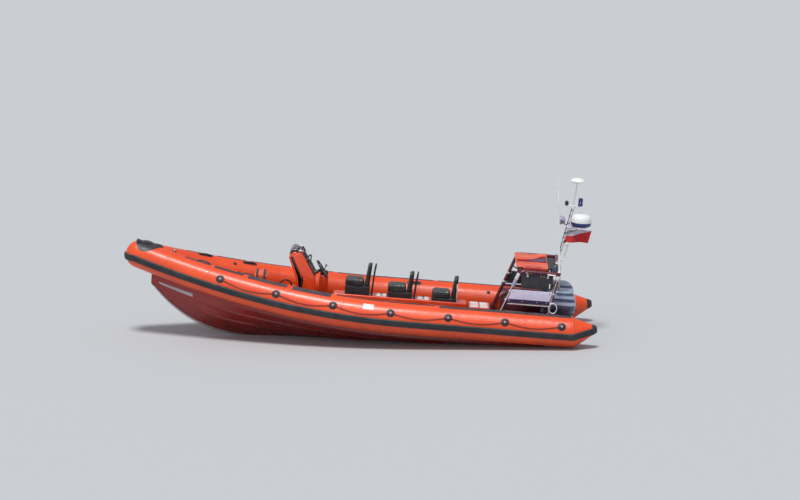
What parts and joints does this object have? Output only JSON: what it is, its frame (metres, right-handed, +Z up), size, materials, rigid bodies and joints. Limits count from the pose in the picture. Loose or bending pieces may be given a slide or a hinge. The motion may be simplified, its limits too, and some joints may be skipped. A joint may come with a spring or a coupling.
{
  "type": "inshore rescue boat",
  "caption": "Rigid inflatable rescue boat with a deep-V hull, twin tilting outboards, seats in line, a console and a stern gantry with mast and righting bag.",
  "frame": {"origin": "on the centreline at the static waterline, at the aft face of the transom", "axes": "+X towards the bow, +Y to port, +Z up"},
  "size_m": [8.4455, 2.861, 3.6974],
  "materials": {
    "orange_fabric": "coated fabric, satin",
    "black_rubber": "matt black rubber",
    "red_gelcoat": "glossy red gelcoat",
    "orange_gelcoat": "satin orange gelcoat",
    "black_gloss": "glossy black moulding",
    "black_tube": "powder-coated steel tube",
    "orange_cloth": "coated nylon",
    "maroon_paint": "dark red paint on tube",
    "pale_board": "pale lilac board",
    "black_plastic": "black moulded plastic",
    "white_plastic": "white moulding",
    "righting_cloth": "coated nylon",
    "white_paint": "white paint on tube",
    "navy_plastic": "dark blue moulding",
    "grey_plastic": "grey moulding",
    "flag_cloth": "red bunting",
    "seat_vinyl": "black vinyl",
    "engine_paint": "dark blue-grey paint",
    "cowl_paint": "dark blue-grey cowl paint",
    "engine_block": "plain block",
    "steel": "stainless steel"
  },
  "bodies": {
    "root": {"port_aft_tube": "orange_fabric", "starboard_aft_tube": "orange_fabric", "port_fore_tube": "orange_fabric", "starboard_fore_tube": "orange_fabric", "bow_tube": "orange_fabric", "rubbing_strake": "black_rubber", "hull": "red_gelcoat", "transom": "red_gelcoat", "foredeck": "orange_gelcoat", "bow_cap": "black_gloss", "port_lifeline": "black_rubber", "starboard_lifeline": "black_rubber", "console": "orange_gelcoat", "windscreen": "black_gloss", "console_grab_rail": "black_tube", "forward_pod": "orange_gelcoat", "forward_hoop": "black_tube", "gear_bag": "orange_cloth", "throttle_pod": "orange_gelcoat", "throttle_box": "black_gloss", "centre_pod": "orange_gelcoat", "stowage_box": "orange_gelcoat", "port_gantry_leg_frame": "maroon_paint", "starboard_gantry_leg_frame": "maroon_paint", "gantry_top_frame": "maroon_paint", "port_side_board": "pale_board", "starboard_side_board": "pale_board", "port_equipment_box": "black_plastic", "starboard_equipment_box": "black_plastic", "righting_bag": "righting_cloth", "mast": "white_paint", "radome": "white_plastic", "satellite_dome": "white_plastic", "strobe_light": "navy_plastic", "masthead_light": "black_plastic", "searchlight": "grey_plastic", "flag": "flag_cloth", "whip_aerial": "white_plastic", "helm_seat_cushion": "seat_vinyl", "helm_backrest": "seat_vinyl", "middle_seat_cushion": "seat_vinyl", "middle_backrest": "seat_vinyl", "aft_seat_cushion": "seat_vinyl", "aft_backrest": "seat_vinyl", "helm_grab_rail": "black_tube", "middle_grab_rail": "black_tube", "port_clamp_bracket": "engine_paint", "starboard_clamp_bracket": "engine_paint"},
    "helm_wheel": {"steering_wheel": "black_rubber"},
    "box_lid": {"stowage_lid": "orange_gelcoat"},
    "port_swivel": {"port_swivel_bracket": "engine_paint"},
    "port_motor": {"port_motor_leg": "engine_paint", "port_cowl": "cowl_paint", "port_engine_block": "engine_block"},
    "port_screw": {"port_propeller": "steel"},
    "starboard_swivel": {"starboard_swivel_bracket": "engine_paint"},
    "starboard_motor": {"starboard_motor_leg": "engine_paint", "starboard_cowl": "cowl_paint", "starboard_engine_block": "engine_block"},
    "starboard_screw": {"starboard_propeller": "steel"}
  },
  "joints": [
    {"name": "port_tilt", "type": "hinge", "parent": "root", "child": "port_swivel", "pos_m": [-0.01, 0.35, 0.285], "axis": [0, 1, 0], "range_deg": [-4, 65]},
    {"name": "port_steer", "type": "hinge", "parent": "port_swivel", "child": "port_motor", "pos_m": [-0.2, 0.35, 0], "axis": [0, 0, 1], "range_deg": [-30, 30]},
    {"name": "port_spin", "type": "hinge", "parent": "port_motor", "child": "port_screw", "pos_m": [-0.61, 0.35, -0.6], "axis": [1, 0, 0], "continuous": true},
    {"name": "starboard_tilt", "type": "hinge", "parent": "root", "child": "starboard_swivel", "pos_m": [-0.01, -0.35, 0.285], "axis": [0, 1, 0], "range_deg": [-4, 65]},
    {"name": "starboard_steer", "type": "hinge", "parent": "starboard_swivel", "child": "starboard_motor", "pos_m": [-0.2, -0.35, 0], "axis": [0, 0, 1], "range_deg": [-30, 30]},
    {"name": "starboard_spin", "type": "hinge", "parent": "starboard_motor", "child": "starboard_screw", "pos_m": [-0.61, -0.35, -0.6], "axis": [1, 0, 0], "continuous": true},
    {"name": "helm_turn", "type": "hinge", "parent": "root", "child": "helm_wheel", "pos_m": [4.02, 0, 0.79], "axis": [-0.8192, 0, 0.5736], "range_deg": [-720, 720]},
    {"name": "lid_hinge", "type": "hinge", "parent": "root", "child": "box_lid", "pos_m": [0.994, 0, 0.3203], "axis": [0, -1, 0], "range_deg": [0, 100]}
  ],
  "couplings": [
    {"joint": "starboard_steer", "follows": "port_steer", "ratio": 1},
    {"joint": "helm_turn", "follows": "port_steer", "ratio": -24}
  ]
}
